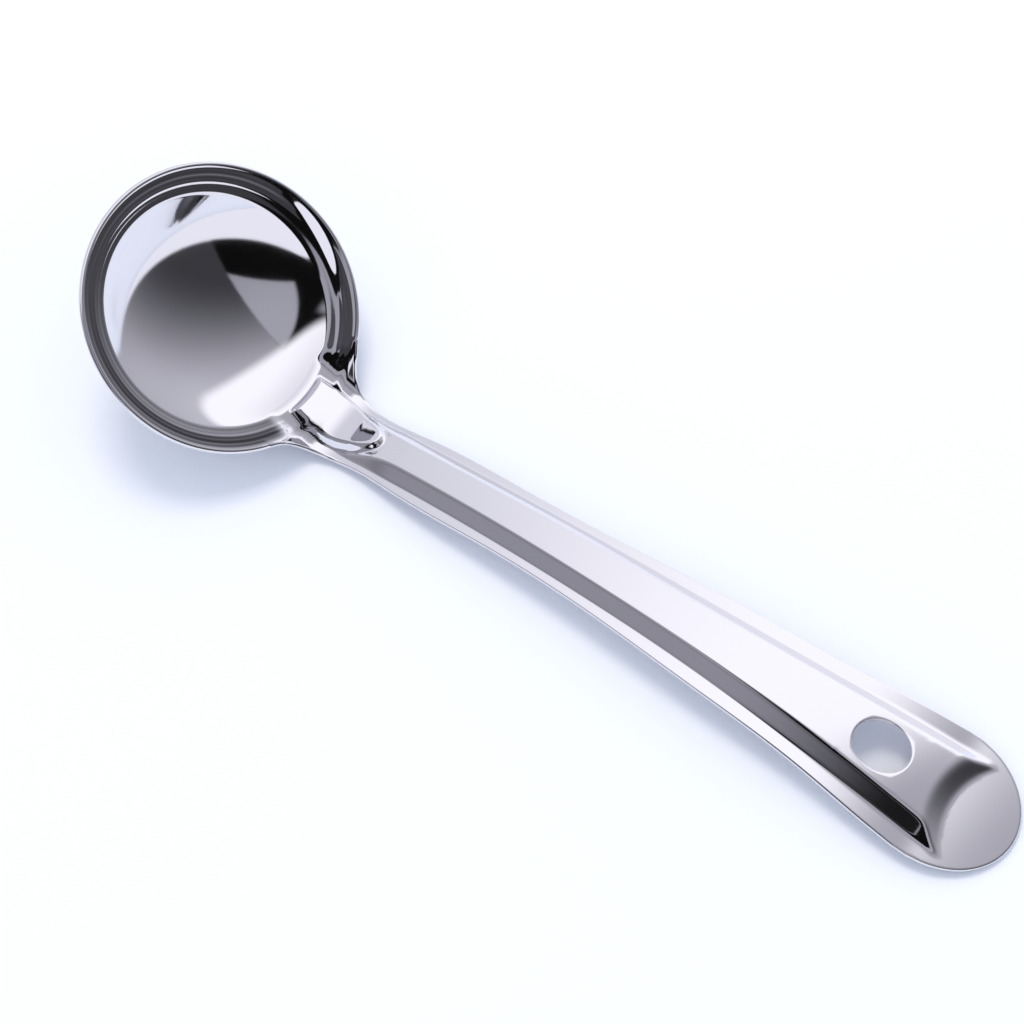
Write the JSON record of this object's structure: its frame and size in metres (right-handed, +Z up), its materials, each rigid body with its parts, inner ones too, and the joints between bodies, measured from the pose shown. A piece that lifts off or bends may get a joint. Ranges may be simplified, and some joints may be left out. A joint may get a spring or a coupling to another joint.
{
  "type": "serving ladle spoon",
  "caption": "Small one-piece steel serving ladle with a round flared bowl, a ribbed neck and a long raised handle with an oval hanging hole.",
  "frame": {"origin": "middle of the footprint, at the table's level, as the ladle lies on its bowl and the end of its handle", "axes": "+X along the ladle from the bowl to the handle's end, +Y across it, +Z up from the table"},
  "size_m": [0.1996, 0.056, 0.0364],
  "materials": {
    "polished_steel": "mirror polished stainless steel"
  },
  "bodies": {
    "root": {"ladle": "polished_steel"}
  },
  "joints": []
}
